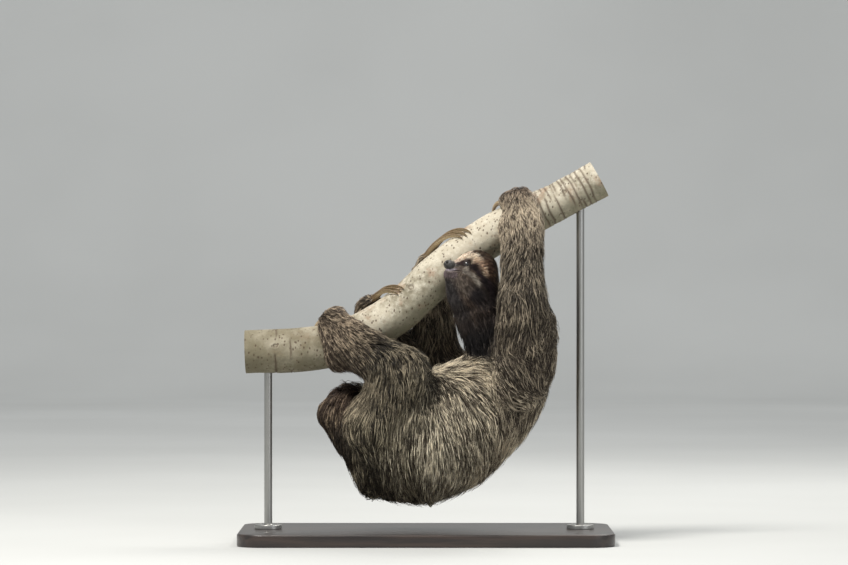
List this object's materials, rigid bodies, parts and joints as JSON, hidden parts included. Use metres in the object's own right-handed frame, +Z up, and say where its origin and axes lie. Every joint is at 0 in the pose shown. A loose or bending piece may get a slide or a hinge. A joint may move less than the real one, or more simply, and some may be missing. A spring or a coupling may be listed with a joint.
{
  "type": "three-toed sloth model on a display stand",
  "caption": "Life-size model of a three-toed sloth hanging below a sloping cut branch, held over a flat base by upright rods.",
  "frame": {"origin": "middle of the underside of the base plate", "axes": "+Z up, +X towards the upper end of the branch, -Y towards the side the animal's left flank faces"},
  "size_m": [0.65, 0.35, 0.6682],
  "materials": {
    "coat": "long coarse grey-brown hair with pale streaks and a faint green tint",
    "face": "short hair, pale mask with dark eye stripes, dark throat",
    "claw": "smooth horn, tan above and darker below",
    "eye": "wet, glossy, dark brown",
    "nose": "bare moist skin, grey-black",
    "bark": "smooth pale bark with dark flecks and leaf scars",
    "stand_base": "satin black-brown lacquer",
    "stand_rod": "brushed"
  },
  "bodies": {
    "root": {"tail": "coat", "pelvis": "coat", "belly": "coat", "chest": "coat", "neck": "coat", "eye_left": "eye", "eye_right": "eye", "head": "face", "nose": "nose", "upper_arm_left": "coat", "forearm_left": "coat", "hand_left": "coat", "claw_hand_left_1": "claw", "claw_hand_left_2": "claw", "claw_hand_left_3": "claw", "thigh_left": "coat", "shin_left": "coat", "foot_left": "coat", "claw_foot_left_1": "claw", "claw_foot_left_2": "claw", "claw_foot_left_3": "claw", "upper_arm_right": "coat", "forearm_right": "coat", "hand_right": "coat", "claw_hand_right_1": "claw", "claw_hand_right_2": "claw", "claw_hand_right_3": "claw", "thigh_right": "coat", "shin_right": "coat", "foot_right": "coat", "claw_foot_right_1": "claw", "claw_foot_right_2": "claw", "claw_foot_right_3": "claw", "stand_rod_low": "stand_rod", "stand_rod_high": "stand_rod", "branch": "bark", "stand_base": "stand_base"}
  },
  "joints": []
}
